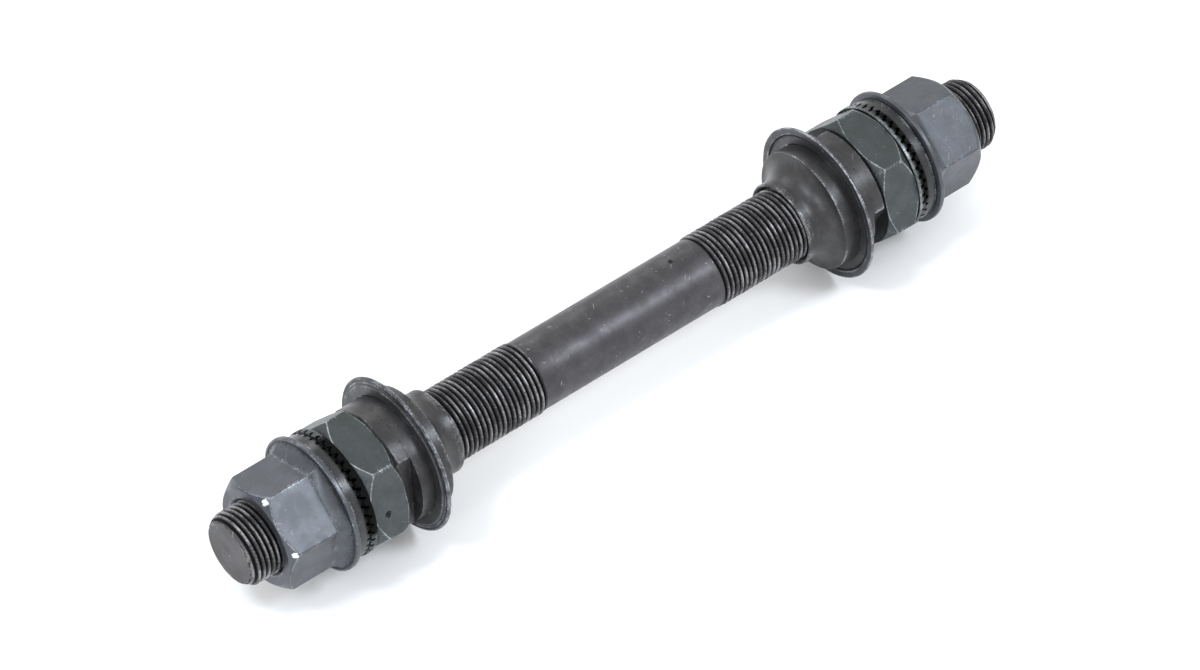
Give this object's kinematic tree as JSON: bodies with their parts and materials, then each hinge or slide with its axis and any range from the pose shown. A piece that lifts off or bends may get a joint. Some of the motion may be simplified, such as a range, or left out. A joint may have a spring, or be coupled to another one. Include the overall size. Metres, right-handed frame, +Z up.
{
  "type": "front hub axle",
  "caption": "Solid threaded axle for a front wheel hub, with flanged axle nuts, washers, toothed locknuts, bearing cones and dust caps.",
  "frame": {"origin": "middle of the axle, on its axis", "axes": "+Y along the axle towards the right end, +Z up, +X square to both"},
  "size_m": [0.03, 0.17, 0.03],
  "materials": {
    "axle_steel": "blackened, lightly worn",
    "cone_steel": "hardened and ground, brownish black",
    "cap_steel": "pressed sheet, blackened",
    "locknut_steel": "blackened, satin",
    "washer_steel": "blackened, rubbed bright in streaks",
    "nut_steel": "phosphated grey"
  },
  "bodies": {
    "axle_set": {"axle": "axle_steel", "left_locknut": "locknut_steel", "right_locknut": "locknut_steel"},
    "left_washer": {"left_washer": "washer_steel"},
    "left_axle_nut": {"left_axle_nut": "nut_steel"},
    "left_dust_cap": {"left_dust_cap": "cap_steel"},
    "left_cone": {"left_cone": "cone_steel"},
    "right_washer": {"right_washer": "washer_steel"},
    "right_axle_nut": {"right_axle_nut": "nut_steel"},
    "right_dust_cap": {"right_dust_cap": "cap_steel"},
    "right_cone": {"right_cone": "cone_steel"}
  },
  "joints": [
    {"name": "left_washer_slide", "type": "slide", "parent": "axle_set", "child": "left_washer", "axis": [0, -1, 0], "range_m": [0, 0.01482]},
    {"name": "left_nut_spin", "type": "hinge", "parent": "left_washer", "child": "left_axle_nut", "pos_m": [0, -0.06, 0], "axis": [0, -1, 0], "range_deg": [0, 5040]},
    {"name": "left_cap_slide", "type": "slide", "parent": "axle_set", "child": "left_dust_cap", "axis": [0, 1, 0], "range_m": [0, 0.01694]},
    {"name": "left_cone_spin", "type": "hinge", "parent": "left_dust_cap", "child": "left_cone", "pos_m": [0, -0.06, 0], "axis": [0, 1, 0], "range_deg": [0, 5760]},
    {"name": "right_washer_slide", "type": "slide", "parent": "axle_set", "child": "right_washer", "axis": [0, 1, 0], "range_m": [0, 0.01482]},
    {"name": "right_nut_spin", "type": "hinge", "parent": "right_washer", "child": "right_axle_nut", "pos_m": [0, 0.06, 0], "axis": [0, 1, 0], "range_deg": [0, 5040]},
    {"name": "right_cap_slide", "type": "slide", "parent": "axle_set", "child": "right_dust_cap", "axis": [0, -1, 0], "range_m": [0, 0.01694]},
    {"name": "right_cone_spin", "type": "hinge", "parent": "right_dust_cap", "child": "right_cone", "pos_m": [0, 0.06, 0], "axis": [0, -1, 0], "range_deg": [0, 5760]}
  ],
  "couplings": [
    {"joint": "left_washer_slide", "follows": "left_nut_spin", "m_per_rad": 0.00016844},
    {"joint": "left_cap_slide", "follows": "left_cone_spin", "m_per_rad": 0.00016844},
    {"joint": "right_washer_slide", "follows": "right_nut_spin", "m_per_rad": 0.00016844},
    {"joint": "right_cap_slide", "follows": "right_cone_spin", "m_per_rad": 0.00016844}
  ]
}
